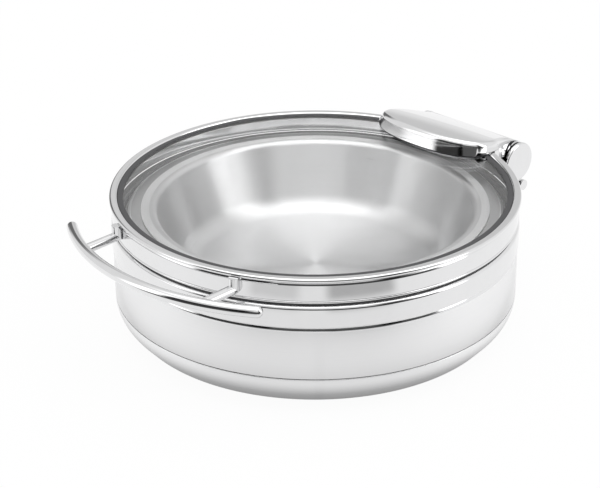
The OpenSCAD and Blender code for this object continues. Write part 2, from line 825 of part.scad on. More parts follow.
// Ring of points on the lower edge, on the rounded edge at angle a, and on the crown a share f in
function edge_ring(d, back) = [for (i = [0:cover_n - 1])
    let (p = cover_point(i, d, back)) [p.x, p.y, edge_z(p.y)]];
function round_ring(d, r, a, lower, back) = [for (i = [0:cover_n - 1]) let (
    p = cover_point(i, d + r * (1 - cos(a)), back),
    top = crown_z(p.x, p.y) - lower,
    e = min(r, round_share * (top - edge_z(p.y)))
) [p.x, p.y, top - e * (1 - sin(a))]];
function crown_ring(d, f, lower, back) = [for (i = [0:cover_n - 1]) let (
    p = cover_point(i, d, back),
    spine = [0, min(max(p.y, cover_front + spine_in), back - spine_in)],
    q = p + f * (spine - p)
) [q.x, q.y, crown_z(q.x, q.y) - lower]];

// Skin from the lower edge to the crown, for the outside or the inside of the shell
function cover_skin(d, r, lower, back) = concat([edge_ring(d, back)],
    [for (a = [0:15:90]) round_ring(d + wall_lean, r, a, lower, back)],
    [for (f = [0.25, 0.5, 0.75]) crown_ring(d + wall_lean + r, f, lower, back)]);

module hinge_cover() {
    n = cover_n;
    outer = cover_skin(0, crown_edge, 0, cover_back);
    inner = cover_skin(cover_t, crown_edge - cover_t, cover_t, cover_back - lip_l);
    k = len(outer);
    // Bands between rings, the strip across the crown, and the rim between the two skins
    function band(r0, r1) = [for (i = [0:n - 1]) let (j = (i + 1) % n)
        each [[r0 * n + i, r1 * n + i, r1 * n + j], [r0 * n + i, r1 * n + j, r0 * n + j]]];
    function strip(r) = [for (i = [0:n / 2 - 1]) let (a = (n - i) % n, b = n - i - 1)
        each concat(i == 0 ? [] : [[r * n + i, r * n + a, r * n + b]],
            i == n / 2 - 1 ? [] : [[r * n + i, r * n + b, r * n + i + 1]])];
    function flipped(faces) = [for (f = faces) reversed(f)];
    faces = concat([for (r = [0:k - 2]) each band(r, r + 1)], strip(k - 1),
        flipped(concat([for (r = [k:2 * k - 2]) each band(r, r + 1)], strip(2 * k - 1))),
        flipped(band(0, k)));
    color("whitesmoke") polyhedron([for (r = concat(outer, inner)) each r], faces);
}

// Glass clamp

// Plan of the soft pads and of the clamp plate: the cover's outline moved in, cut off inside the gasket
module pad_plan(inset, cut) {
    intersection() {
        circle(gasket_in_r - cut, $fn = 180);
        polygon([for (i = [0:cover_n - 1]) cover_point(i, inset, cover_back)]);
    }
}

module clamp_holes() {
    at_clamps() translate([0, 0, plate_top - clamp_t - over])
        cylinder(d = clamp_d + 2 * fit_gap, h = cover_z - plate_top + clamp_t + 2 * over, $fn = 32);
}

module clamp_pad_upper() {
    color("dimgray") difference() {
        translate([0, 0, glass_top]) linear_extrude(pad_t) pad_plan(pad_inset, pad_inset);
        clamp_holes();
    }
}

module clamp_pad_lower() {
    color("dimgray") difference() {
        translate([0, 0, plate_top]) linear_extrude(under_pad_t) pad_plan(under_inset, pad_inset);
        clamp_holes();
    }
}

module clamp_plate() {
    color("silver") difference() {
        translate([0, 0, plate_top - clamp_t]) linear_extrude(clamp_t)
            pad_plan(under_inset + plate_inset, pad_inset + plate_inset);
        clamp_holes();
        at_clamps() translate([0, 0, plate_top - clamp_t])
            cylinder(d1 = 2 * clamp_d, d2 = clamp_d, h = clamp_d / 2, $fn = 32);
    }
}

module clamp_screws() {
    r = clamp_d / 2;
    z = plate_top - clamp_t;
    length = cover_z + arm_t - 2 * over - z;
    color("silver") at_clamps() translate([0, 0, z]) rotate_extrude($fn = 32)
        polygon([[0, 0], [clamp_d - head_gap, 0], [r, r - head_gap], [r, length], [0, length]]);
}

induction_base();
heat_disc();
water_pan();
rim_collar();
backing_plate();
hinge_bracket();
bracket_screws();
hinge_shaft();
end_cap_left();
end_cap_right();
food_pan();
lid_seal();
lid_rim();
lid_gasket();
lid_glass();
handle_bar();
handle_post_left();
handle_post_right();
hinge_arm();
hinge_cover();
clamp_pad_upper();
clamp_pad_lower();
clamp_plate();
clamp_screws();
bush_left();
bush_right();
damper_left();
damper_right();
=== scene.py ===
"""Looks of a round induction chafing dish with a damped glass lid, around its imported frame.

Lengths are in metres. The handle is on the -Y side and the hinge on the +Y side.
"""
import math

import bmesh
import bpy
from mathutils import Matrix, Vector


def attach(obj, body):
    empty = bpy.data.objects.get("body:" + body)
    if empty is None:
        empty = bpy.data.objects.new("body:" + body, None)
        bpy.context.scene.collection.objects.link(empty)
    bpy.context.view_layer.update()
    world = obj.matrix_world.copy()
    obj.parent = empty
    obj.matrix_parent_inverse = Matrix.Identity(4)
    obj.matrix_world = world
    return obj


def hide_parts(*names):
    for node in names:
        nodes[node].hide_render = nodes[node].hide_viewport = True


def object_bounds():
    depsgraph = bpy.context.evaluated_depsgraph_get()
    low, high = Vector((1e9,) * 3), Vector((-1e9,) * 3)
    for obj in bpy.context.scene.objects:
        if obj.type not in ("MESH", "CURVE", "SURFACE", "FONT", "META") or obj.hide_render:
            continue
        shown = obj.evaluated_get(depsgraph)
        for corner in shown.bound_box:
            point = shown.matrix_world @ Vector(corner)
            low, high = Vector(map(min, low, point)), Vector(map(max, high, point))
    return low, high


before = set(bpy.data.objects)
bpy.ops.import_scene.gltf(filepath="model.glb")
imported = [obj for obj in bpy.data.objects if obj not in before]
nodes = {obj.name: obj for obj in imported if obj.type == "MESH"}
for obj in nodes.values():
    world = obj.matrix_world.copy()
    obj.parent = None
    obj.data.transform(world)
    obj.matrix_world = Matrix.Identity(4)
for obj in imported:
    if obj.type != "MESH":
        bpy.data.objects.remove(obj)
cad_low, cad_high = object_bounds()
scene = bpy.context.scene
MM = 0.001

# Camera, at the photograph's viewing angle

CAMERA_PLACE = Vector((1.3407, -1.3877, 1.0195))
CAMERA_AZIMUTH = math.radians(44.5)
CAMERA_PITCH = math.radians(25.85)
CAMERA_ROLL = math.radians(-0.41)
LENS = 120
SENSOR = 36


def add_camera():
    """Long lens, looking down at the dish from its front right."""
    sin_a, cos_a = math.sin(CAMERA_AZIMUTH), math.cos(CAMERA_AZIMUTH)
    sin_p, cos_p = math.sin(CAMERA_PITCH), math.cos(CAMERA_PITCH)
    forward = Vector((-sin_a * cos_p, cos_a * cos_p, -sin_p))
    right = Vector((cos_a, sin_a, 0))
    up = Vector((-sin_a * sin_p, cos_a * sin_p, cos_p))
    rolled_right = right * math.cos(CAMERA_ROLL) + up * math.sin(CAMERA_ROLL)
    rolled_up = up * math.cos(CAMERA_ROLL) - right * math.sin(CAMERA_ROLL)
    data = bpy.data.cameras.new("camera")
    data.lens = LENS
    data.sensor_width = SENSOR
    camera = bpy.data.objects.new("camera", data)
    columns = (rolled_right, rolled_up, -forward, CAMERA_PLACE)
    rows = [[column[i] for column in columns] for i in range(3)]
    camera.matrix_world = Matrix(rows + [[0, 0, 0, 1]])
    scene.collection.objects.link(camera)
    scene.camera = camera


add_camera()

# Shader nodes


def new_material(name):
    material = bpy.data.materials.new(name)
    material.use_nodes = True
    tree = material.node_tree
    return material, tree, tree.nodes["Principled BSDF"]


def math_node(tree, operation, *values):
    """Arithmetic on values that are numbers or nodes' outputs."""
    node = tree.nodes.new("ShaderNodeMath")
    node.operation = operation
    for socket, value in zip(node.inputs, values):
        if isinstance(value, (int, float)):
            socket.default_value = value
        else:
            tree.links.new(value, socket)
    return node.outputs[0]


def split(tree, vector):
    """The X, Y and Z of a vector."""
    node = tree.nodes.new("ShaderNodeSeparateXYZ")
    tree.links.new(vector, node.inputs[0])
    return tuple(node.outputs)


def joined(tree, *parts):
    """A vector of up to three parts."""
    node = tree.nodes.new("ShaderNodeCombineXYZ")
    for part, socket in zip(parts, node.inputs):
        tree.links.new(part, socket)
    return node.outputs[0]


def length(tree, vector):
    node = tree.nodes.new("ShaderNodeVectorMath")
    node.operation = "LENGTH"
    tree.links.new(vector, node.inputs[0])
    return node.outputs["Value"]


def object_coordinates(tree):
    return tree.nodes.new("ShaderNodeTexCoord").outputs["Object"]


def spun_coordinates(tree, along, across):
    """Coordinates that run along the turning marks of a piece turned about Z."""
    x, y, z = split(tree, object_coordinates(tree))
    angle = math_node(tree, "ARCTAN2", y, x)
    radius = length(tree, joined(tree, x, y))
    scaled = tree.nodes.new("ShaderNodeVectorMath")
    scaled.operation = "MULTIPLY"
    tree.links.new(joined(tree, angle, radius, z), scaled.inputs[0])
    scaled.inputs[1].default_value = (along, across, across)
    return scaled.outputs[0]


def noise(tree, vector, scale, detail=3, roughness=0.6):
    node = tree.nodes.new("ShaderNodeTexNoise")
    node.inputs["Scale"].default_value = scale
    node.inputs["Detail"].default_value = detail
    node.inputs["Roughness"].default_value = roughness
    tree.links.new(vector, node.inputs["Vector"])
    return node.outputs["Fac"]


def ramp(tree, value, low, high):
    """A value between 0 and 1 spread over a range."""
    node = tree.nodes.new("ShaderNodeMapRange")
    node.inputs["To Min"].default_value = low
    node.inputs["To Max"].default_value = high
    tree.links.new(value, node.inputs["Value"])
    return node.outputs["Result"]


def rise(tree, value, start, end):
    """0 at start and 1 at end, with a soft passage."""
    node = tree.nodes.new("ShaderNodeMapRange")
    node.interpolation_type = "SMOOTHSTEP"
    node.inputs["From Min"].default_value = start
    node.inputs["From Max"].default_value = end
    tree.links.new(value, node.inputs["Value"])
    return node.outputs["Result"]


def within(tree, value, ends, soft):
    """1 between two values and 0 outside them, with soft edges."""
    start, end = ends
    up = rise(tree, value, start - soft, start + soft)
    down = rise(tree, value, end + soft, end - soft)
    return math_node(tree, "MULTIPLY", up, down)


def tint(tree, value, dark, light):
    """A grey or colour that varies between two colours."""
    node = tree.nodes.new("ShaderNodeMix")
    node.data_type = "RGBA"
    node.inputs["A"].default_value = (*dark, 1)
    node.inputs["B"].default_value = (*light, 1)
    tree.links.new(value, node.inputs["Factor"])
    return node.outputs["Result"]


def bump(tree, height, strength, distance):
    node = tree.nodes.new("ShaderNodeBump")
    node.inputs["Strength"].default_value = strength
    node.inputs["Distance"].default_value = distance
    tree.links.new(height, node.inputs["Height"])
    return node.outputs["Normal"]


# Materials

MARKS_ALONG, MARKS_ACROSS, MARKS_DEPTH, MARKS_SPREAD = 2.0, 900.0, 0.02 * MM, 0.06
MARKS_ROUND_AXIS = 0.25  # turns the anisotropy so that highlights cross the marks
CLOUD_SCALE = 9
WIPE_SCALE, WIPE_DETAIL, WIPE_ROUGHNESS = 60, 5, 0.7
WAVE_SCALE, WAVE_DETAIL, WAVE_STRENGTH, WAVE_DEPTH = 14, 1, 0.12, 0.4 * MM
POLISH_DARK, POLISH_LIGHT, POLISH_ROUGH = (0.77, 0.77, 0.775), (0.83, 0.83, 0.835), (0.03, 0.11)
FLECK_SCALE, FLECK_STRENGTH = 400, 0.15
GRAIN_SCALE, GRAIN_STRENGTH = 900, 0.2
FINE_DETAIL, FINE_DEPTH, FINE_SPREAD = 4, 0.05 * MM, 0.08
HAZE_SCALE, GLASS_ROUGH, GLASS_IOR = 30, (0.0, 0.012), 1.5
GLASS_DARK, GLASS_LIGHT = (0.988, 0.991, 0.99), (0.996, 0.998, 0.997)


def spun_steel(name, dark, light, rough, marks, anisotropy):
    """Steel with fine marks that run round the piece."""
    material, tree, shader = new_material(name)
    grain = noise(tree, spun_coordinates(tree, MARKS_ALONG, MARKS_ACROSS), 1)
    cloud = noise(tree, object_coordinates(tree), CLOUD_SCALE)
    mean = math_node(tree, "MULTIPLY", math_node(tree, "ADD", grain, cloud), 0.5)
    roughness = ramp(tree, grain, rough - MARKS_SPREAD, rough + MARKS_SPREAD)
    tangent = tree.nodes.new("ShaderNodeTangent")
    tangent.direction_type = "RADIAL"
    tangent.axis = "Z"
    shader.inputs["Metallic"].default_value = 1
    shader.inputs["Anisotropic"].default_value = anisotropy
    shader.inputs["Anisotropic Rotation"].default_value = MARKS_ROUND_AXIS
    tree.links.new(tint(tree, mean, dark, light), shader.inputs["Base Color"])
    tree.links.new(roughness, shader.inputs["Roughness"])
    tree.links.new(bump(tree, grain, marks, MARKS_DEPTH), shader.inputs["Normal"])
    tree.links.new(tangent.outputs[0], shader.inputs["Tangent"])
    return material


def polished_steel(name):
    """Mirror-polished steel with the faint waviness of drawn sheet and fine wipe marks."""
    material, tree, shader = new_material(name)
    place = object_coordinates(tree)
    wipe = noise(tree, place, WIPE_SCALE, WIPE_DETAIL, WIPE_ROUGHNESS)
    wave = noise(tree, place, WAVE_SCALE, WAVE_DETAIL)
    shader.inputs["Metallic"].default_value = 1
    tree.links.new(tint(tree, wipe, POLISH_DARK, POLISH_LIGHT), shader.inputs["Base Color"])
    tree.links.new(ramp(tree, wipe, *POLISH_ROUGH), shader.inputs["Roughness"])
    tree.links.new(bump(tree, wave, WAVE_STRENGTH, WAVE_DEPTH), shader.inputs["Normal"])
    return material


def fine_grained(name, dark, light, rough, scale, strength, metallic):
    """A surface with a fine even grain."""
    material, tree, shader = new_material(name)
    grain = noise(tree, object_coordinates(tree), scale, FINE_DETAIL)
    roughness = ramp(tree, grain, rough - FINE_SPREAD, rough + FINE_SPREAD)
    shader.inputs["Metallic"].default_value = metallic
    tree.links.new(tint(tree, grain, dark, light), shader.inputs["Base Color"])
    tree.links.new(roughness, shader.inputs["Roughness"])
    tree.links.new(bump(tree, grain, strength, FINE_DEPTH), shader.inputs["Normal"])
    return material


def plain_metal(name, dark, light, rough):
    """Machined or rolled metal with small flecks."""
    return fine_grained(name, dark, light, rough, FLECK_SCALE, FLECK_STRENGTH, 1)


def moulded(name, dark, light, rough):
    """Rubber or plastic with a fine moulded grain."""
    return fine_grained(name, dark, light, rough, GRAIN_SCALE, GRAIN_STRENGTH, 0)


def clear_glass(name):
    """Clear flat glass with a trace of green and the faintest haze."""
    material, tree, shader = new_material(name)
    haze = noise(tree, object_coordinates(tree), HAZE_SCALE)
    shader.inputs["Transmission Weight"].default_value = 1
    shader.inputs["IOR"].default_value = GLASS_IOR
    tree.links.new(tint(tree, haze, GLASS_DARK, GLASS_LIGHT), shader.inputs["Base Color"])
    tree.links.new(ramp(tree, haze, *GLASS_ROUGH), shader.inputs["Roughness"])
    return material


# Dark and light colour, roughness, depth of the marks and anisotropy
SPUN = {
    "satin_steel": ((0.84, 0.84, 0.845), (0.93, 0.93, 0.935), 0.36, 0.25, 0.4),
    # Dark copy of the satin steel, painted as shade inside the water pan's groove
    "groove_painted_shade": ((0.3, 0.3, 0.305), (0.36, 0.36, 0.365), 0.5, 0.25, 0.4),
    # Darker copy of the satin steel, painted as shade on the collar's seat under the food pan's
    # flange
    "seat_painted_shade": ((0.49, 0.49, 0.495), (0.55, 0.55, 0.555), 0.36, 0.25, 0.4),
    # Paler copy of the pan steel, painted as light on the food pan's flange
    "flange_painted_light": ((0.95, 0.95, 0.955), (0.99, 0.99, 0.99), 0.66, 0.25, 0.4),
    "pan_steel": ((0.74, 0.74, 0.745), (0.86, 0.86, 0.865), 0.3, 0.22, 1.0),
    "base_steel": ((0.55, 0.55, 0.56), (0.62, 0.62, 0.63), 0.35, 0.4, 0.5),
}
# Dark and light colour and roughness
PLAIN = {
    "plain_steel": ((0.6, 0.6, 0.61), (0.72, 0.72, 0.73), 0.32),
    "core_aluminium": ((0.74, 0.75, 0.76), (0.82, 0.83, 0.84), 0.4),
}
MOULDED = {
    "gasket_rubber": ((0.03, 0.03, 0.032), (0.055, 0.055, 0.058), 0.45),
    "bush_plastic": ((0.03, 0.03, 0.033), (0.05, 0.05, 0.054), 0.45),
    "damper_plastic": ((0.02, 0.02, 0.022), (0.04, 0.04, 0.043), 0.5),
}
MATERIALS = {
    "polished_steel": polished_steel("polished_steel"),
    "clear_glass": clear_glass("clear_glass"),
    **{name: spun_steel(name, *values) for name, values in SPUN.items()},
    **{name: plain_metal(name, *values) for name, values in PLAIN.items()},
    **{name: moulded(name, *values) for name, values in MOULDED.items()},
}


def finish_nodes():
    """Every CAD node takes the finish of its slot."""
    for node in nodes.values():
        slot = node.material_slots[0].material.name.split(".")[0]
        node.material_slots[0].material = MATERIALS[slot]


finish_nodes()

# Sections, as points in radius and height

LEAST_BEND = 0.2 * MM


def arc(centre, radius, start, end, step=5):
    """Points of an arc from one angle to another, in degrees."""
    count = max(2, math.ceil(abs(end - start) / step))
    angles = [math.radians(start + (end - start) * i / count) for i in range(count + 1)]
    return [centre + radius * Vector((math.cos(a), math.sin(a))) for a in angles]


def left(v):
    return Vector((-v.y, v.x))


def cross(a, b):
    return a.x * b.y - a.y * b.x


def bend(before, corner, after, radius):
    """The corner of a path, rounded to a radius."""
    d0, d1 = (corner - before).normalized(), (after - corner).normalized()
    turn = math.atan2(cross(d0, d1), d0.dot(d1))
    side = math.copysign(1, turn)
    centre = corner - d0 * radius * math.tan(abs(turn) / 2) + side * radius * left(d0)
    spoke = -side * left(d0)
    start = math.degrees(math.atan2(spoke.y, spoke.x))
    return arc(centre, radius, start, start + math.degrees(turn))


def shifted(path, d):
    """A path moved d to its left, with mitred corners."""
    moved = []
    last = len(path) - 1
    for i, p in enumerate(path):
        ahead = (path[min(i + 1, last)] - path[min(i, last - 1)]).normalized()
        behind = (path[max(i, 1)] - path[max(i - 1, 0)]).normalized()
        moved.append(p + d * (left(behind) + left(ahead)) / (1 + behind.dot(ahead)))
    return moved


def formed(path, radii, d):
    """A path moved d to its left, its corners rounded to radii given on the path itself."""
    p = shifted(path, d)
    points = [p[0]]
    for i in range(1, len(path) - 1):
        side = math.copysign(1, cross(path[i] - path[i - 1], path[i + 1] - path[i]))
        radius = max(LEAST_BEND, radii[i - 1] - d * side)
        points += bend(p[i - 1], p[i], p[i + 1], radius)
    return points + [p[-1]]


def sheet(path, radii, thickness):
    """Closed section of a sheet to the left of a path."""
    path = [Vector(p) for p in path]
    return formed(path, radii, 0) + formed(path, radii, thickness)[::-1]


# Meshes

TURNS, CAP_TURNS = 288, 144
MERGE = 1e-6
SHARP = math.radians(40)
SHADED_RECESS_FACE = 6 * MM * MM


def piece(name, bm, body, node, slot, finish=None, shaded_recess=None):
    """A mesh that stands for a CAD node, in its slot's finish or one of its own.

    A shaded recess is a second, darker finish painted in as shade, and the two heights between
    which small faces take it.
    """
    bmesh.ops.recalc_face_normals(bm, faces=bm.faces)
    mesh = bpy.data.meshes.new(name)
    bm.to_mesh(mesh)
    bm.free()
    mesh.shade_smooth()
    mesh.set_sharp_from_angle(angle=SHARP)
    mesh.materials.append(MATERIALS[finish or slot])
    if shaded_recess:
        second, low, high = shaded_recess
        mesh.materials.append(MATERIALS[second])
        for face in mesh.polygons:
            face.material_index = int(low < face.center.z < high and face.area < SHADED_RECESS_FACE)
    obj = bpy.data.objects.new(name, mesh)
    scene.collection.objects.link(obj)
    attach(obj, body)
    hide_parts(node)


def skin(bm, rings, close_loop=False):
    """Quads between closed rings of vertices."""
    rows = rings + rings[:1] if close_loop else rings
    for a, b in zip(rows, rows[1:]):
        for i in range(len(a)):
            j = (i + 1) % len(a)
            bm.faces.new((a[i], a[j], b[j], b[i]))


def turned(loop, turns, place):
    """A closed section carried round an axis: place gives a point's position at an angle."""
    bm = bmesh.new()
    angles = [2 * math.pi * k / turns for k in range(turns)]
    rings = [[bm.verts.new(place(p, a)) for p in loop] for a in angles]
    skin(bm, rings, close_loop=True)
    bmesh.ops.remove_doubles(bm, verts=bm.verts, dist=MERGE)
    return bm


def lathe(loop):
    """A closed section in radius and height, turned about Z."""
    return turned(loop, TURNS, lambda p, a: (p.x * math.cos(a), p.x * math.sin(a), p.y))


def lathe_x(loop, side):
    """A closed section in X and radius, turned about the hinge axis, on one side of the dish."""
    return turned(loop, CAP_TURNS, lambda p, a: (
        side * p.x, AXIS_Y + p.y * math.cos(a), AXIS_Z + p.y * math.sin(a)))


def tube(rings_at):
    """A skin over rings of points, closed at both ends."""
    bm = bmesh.new()
    rings = [[bm.verts.new(p) for p in ring] for ring in rings_at]
    skin(bm, rings)
    bm.faces.new(rings[0])
    bm.faces.new(rings[-1])
    return bm


# Water pan

PAN_Z, PAN_TOP, PAN_R, PAN_T, WALL_R = 4 * MM, 119.8 * MM, 214.5 * MM, 1.5 * MM, 215.3 * MM
HAUNCH_IN, HAUNCH_UP, HAUNCH_R, FOOT_R = 20 * MM, 23 * MM, 30 * MM, 15 * MM
SHOULDER_R, SHOULDER_Z, SHOULDER_TILT, SHOULDER_STEP = 9 * MM, 92.8 * MM, 42, 3
COLLAR_R, COLLAR_LOW, COLLAR_TOP, COLLAR_T = 216.5 * MM, 98.6 * MM, 121.3 * MM, 1.5 * MM
COLLAR_LAP = 2 * MM
GROOVE_Z, GROOVE_HALF, GROOVE_DEEP = 40 * MM, 0.45 * MM, 1.2 * MM
# Across the groove, in half widths and depths
GROOVE_SHAPE = ((-1.4, 0), (-1, 0.12), (-0.5, 0.9), (0, 1), (0.5, 0.9), (1, 0.12), (1.4, 0))


def haunch_path(wall_r):
    """Outline of the water pan below its collar, and the radii of its corners."""
    corners = ((0, PAN_Z), (PAN_R - HAUNCH_IN, PAN_Z),
               (wall_r, PAN_Z + HAUNCH_UP), (wall_r, SHOULDER_Z))
    return [Vector(p) for p in corners], [FOOT_R, HAUNCH_R]


def add_water_pan():
    """Shell with a fine groove, darkened inside as painted shade, and a polished shoulder that
    tucks in under the collar.
    """
    outside = formed(*haunch_path(WALL_R), 0)
    groove_at = next(i for i, p in enumerate(outside) if p.y > GROOVE_Z)
    low, high = outside[groove_at - 1], outside[groove_at]
    middle = low.lerp(high, (GROOVE_Z - low.y) / (high.y - low.y))
    along = (high - low).normalized()
    groove = [middle + along * GROOVE_HALF * s + left(along) * GROOVE_DEEP * d
              for s, d in GROOVE_SHAPE]
    below = [p for p in outside if p.y < groove[0].y]
    above = [p for p in outside if p.y > groove[-1].y]
    neck = [Vector(p) for p in ((PAN_R, SHOULDER_Z), (PAN_R, COLLAR_LOW + COLLAR_LAP),
                                (PAN_R, PAN_TOP), (PAN_R - PAN_T, PAN_TOP))]
    inside = formed(*haunch_path(PAN_R), PAN_T)
    shell = lathe(below + groove + above + neck + inside[::-1])
    # Small faces deep in the groove take a dark steel: painted shade
    piece("water_pan_shell", shell, "base", "water_pan", "satin_steel",
          shaded_recess=("groove_painted_shade", groove[1].y, groove[-2].y))
    centre = Vector((WALL_R - SHOULDER_R, SHOULDER_Z))
    round_off = arc(centre, SHOULDER_R, 0, SHOULDER_TILT, SHOULDER_STEP)
    back = [Vector((PAN_R - PAN_T, z)) for z in (round_off[-1].y, SHOULDER_Z)]
    shoulder = lathe(round_off + back)
    piece("water_pan_shoulder", shoulder, "base", "water_pan", "satin_steel", "polished_steel")


add_water_pan()

# Rim collar, with the ledge that the food pan hangs on

COLLAR_ROUND, COLLAR_BEND = 4 * MM, 2 * MM
RING_IN_R = 202.45 * MM
RISER_R, LEDGE_R, LEDGE_TOP, LEDGE_LIP = 198.4 * MM, 174 * MM, 128.2 * MM, 6 * MM
SEAT_R = RISER_R - 1.5 * COLLAR_BEND


def add_rim_collar():
    """Polished ring, satin riser, and the seat that the food pan hangs on, its steel darkened as
    painted shade.
    """
    ring_end, seat_start = (RING_IN_R, COLLAR_TOP), (SEAT_R, LEDGE_TOP)
    ring = [(COLLAR_R, COLLAR_LOW), (COLLAR_R, COLLAR_TOP), ring_end]
    riser = [ring_end, (RISER_R, COLLAR_TOP), (RISER_R, LEDGE_TOP), seat_start]
    seat = [seat_start, (LEDGE_R, LEDGE_TOP), (LEDGE_R, LEDGE_TOP - LEDGE_LIP)]
    for name, path, radii, finish in (
            ("collar_ring", ring, [COLLAR_ROUND], "polished_steel"),
            ("collar_riser", riser, [COLLAR_BEND] * 2, "satin_steel"),
            ("collar_seat", seat, [COLLAR_BEND], "seat_painted_shade")):
        section = sheet(path, radii, COLLAR_T)
        piece(name, lathe(section), "base", "rim_collar", "polished_steel", finish)


add_rim_collar()

# Food pan

FLANGE_R, FLANGE_TOP, MOUTH_R, WELL_R = 184.7 * MM, 129.8 * MM, 169 * MM, 139 * MM
WELL_DEPTH, WELL_T, WELL_BEND, MOUTH_BEND = 71 * MM, 1.2 * MM, 27 * MM, 7 * MM


def add_food_pan():
    """Brushed well, and a flange in paler steel as painted light."""
    bottom = FLANGE_TOP - WELL_DEPTH
    flange_end = (MOUTH_R + MOUTH_BEND, FLANGE_TOP)
    well = [flange_end, (MOUTH_R, FLANGE_TOP), (WELL_R, bottom), (0, bottom)]
    section = sheet(well, [MOUTH_BEND, WELL_BEND], WELL_T)
    piece("food_pan_well", lathe(section), "pan", "food_pan", "pan_steel")
    section = sheet([(FLANGE_R, FLANGE_TOP), flange_end], [], WELL_T)
    piece("food_pan_flange", lathe(section), "pan", "food_pan", "pan_steel", "flange_painted_light")


add_food_pan()

# Lid: rim and gasket. The glass is the CAD node itself.

LID_Z, SKIRT_R, RIM_T, SKIRT_ROUND = 124.2 * MM, 215.5 * MM, 1.2 * MM, 6 * MM
SKIRT_TILT, SKIRT_STEP = 40, 4
HEM_R, HEM_OUT, HEM_LEAVE = 1.4 * MM, 0.4 * MM, 2.4
HEM_START, HEM_END, HEM_STEP = 150, 440, 10
BEAD_Z, BEAD_H, BEAD_R, BEAD_IN_R = 147.1 * MM, 4.4 * MM, 217.5 * MM, 208.8 * MM
CHANNEL_GAP, CHANNEL_IN = 0.2 * MM, 1 * MM
GASKET_Z, GASKET_TOP, GASKET_IN_R = 143.9 * MM, 150.4 * MM, 202.8 * MM
GASKET_BEVEL, GASKET_EDGE, GASKET_LIP, GASKET_GAP = 1.5 * MM, 0.4 * MM, 0.1 * MM, 0.1 * MM
GLASS_Z, GLASS_TOP, GLASS_R = 144.9 * MM, 149.9 * MM, 206.5 * MM


def add_lid_rim():
    """Skirt with a rolled hem, rounded bead, and the channel that holds the gasket."""
    half = BEAD_H / 2
    mid = BEAD_Z + half
    hem = Vector((SKIRT_R + HEM_OUT - HEM_R, LID_Z + HEM_R))
    outer, inner = Vector((BEAD_R - half, mid)), Vector((BEAD_IN_R + half, mid))
    shoulder_z = BEAD_Z - SKIRT_ROUND * math.sin(math.radians(SKIRT_TILT))
    centre = Vector((SKIRT_R - SKIRT_ROUND, shoulder_z))
    shoulder = arc(centre, SKIRT_ROUND, 0, SKIRT_TILT, SKIRT_STEP)
    under = math.degrees(math.asin((shoulder[-1].x - outer.x) / half))
    wall_r, seat_r, seat_z = BEAD_IN_R + CHANNEL_GAP, GASKET_IN_R + CHANNEL_IN, GASKET_Z - RIM_T
    loop = arc(hem, HEM_R, HEM_START, HEM_END, HEM_STEP)
    loop += [Vector((SKIRT_R, LID_Z + HEM_LEAVE * HEM_R))] + shoulder
    loop += arc(outer, half, under - 90, 90) + arc(inner, half, 90, 180)
    loop += [Vector(p) for p in (
        (wall_r, GASKET_Z), (seat_r, GASKET_Z), (seat_r, seat_z), (wall_r + RIM_T, seat_z),
        (wall_r + RIM_T, mid), (SKIRT_R - RIM_T, mid))]
    piece("lid_ring", lathe(loop), "lid", "lid_rim", "polished_steel")


def add_lid_gasket():
    """Channel round the edge of the glass, bevelled on top."""
    out_r = BEAD_IN_R - GASKET_GAP
    loop = [Vector(p) for p in (
        (GASKET_IN_R, GASKET_Z), (out_r, GASKET_Z),
        (out_r, GASKET_TOP - GASKET_EDGE), (out_r - GASKET_EDGE, GASKET_TOP),
        (GASKET_IN_R + GASKET_BEVEL, GASKET_TOP), (GASKET_IN_R, GLASS_TOP + GASKET_LIP),
        (GASKET_IN_R, GLASS_TOP), (GLASS_R, GLASS_TOP),
        (GLASS_R, GLASS_Z), (GASKET_IN_R, GLASS_Z))]
    piece("gasket_ring", lathe(loop), "lid", "lid_gasket", "gasket_rubber")


add_lid_rim()
add_lid_gasket()

# Handle

BAR_R, BAR_BACK, BAR_Z, BAR_HALF, BAR_D = 243 * MM, 19 * MM, 135.9 * MM, 34, 12 * MM
POST_X, POST_D, POST_GAP, STUD_UP, ELBOW_RUN = 86 * MM, 10 * MM, 0.1 * MM, 1.2 * MM, 0.4 * MM
BAR_STEPS, DOME_STEPS, ROUND_STEPS = 160, 8, 40
DOME_TIP = 0.15  # how far the dome's first ring stays off its tip, in steps
ROUND_ANGLES = [2 * math.pi * i / ROUND_STEPS for i in range(ROUND_STEPS)]
SIDES = ((-1, "left"), (1, "right"))


def add_handle_bar():
    """Curved round bar with rounded ends."""
    r = BAR_D / 2
    # Angle along the bar, distance past it, and radius
    dome = []
    for k in range(DOME_STEPS):
        t = math.pi / 2 * (1 - (k + DOME_TIP) / (DOME_STEPS + DOME_TIP))
        dome.append((-BAR_HALF, -r * math.sin(t), r * math.cos(t)))
    bar = [(BAR_HALF * (2 * k / BAR_STEPS - 1), 0, r) for k in range(BAR_STEPS + 1)]
    far_dome = [(-angle, -past, radius) for angle, past, radius in dome[::-1]]
    up = Vector((0, 0, 1))
    rings = []
    for angle, past, radius in dome + bar + far_dome:
        a = math.radians(angle)
        out = Vector((math.sin(a), -math.cos(a), 0))
        along = Vector((math.cos(a), math.sin(a), 0))
        centre = Vector((0, -BAR_BACK, BAR_Z)) + BAR_R * out + past * along
        rings.append([centre + radius * (out * math.cos(t) + up * math.sin(t))
                      for t in ROUND_ANGLES])
    piece("handle_rod", tube(rings), "lid", "handle_bar", "polished_steel")


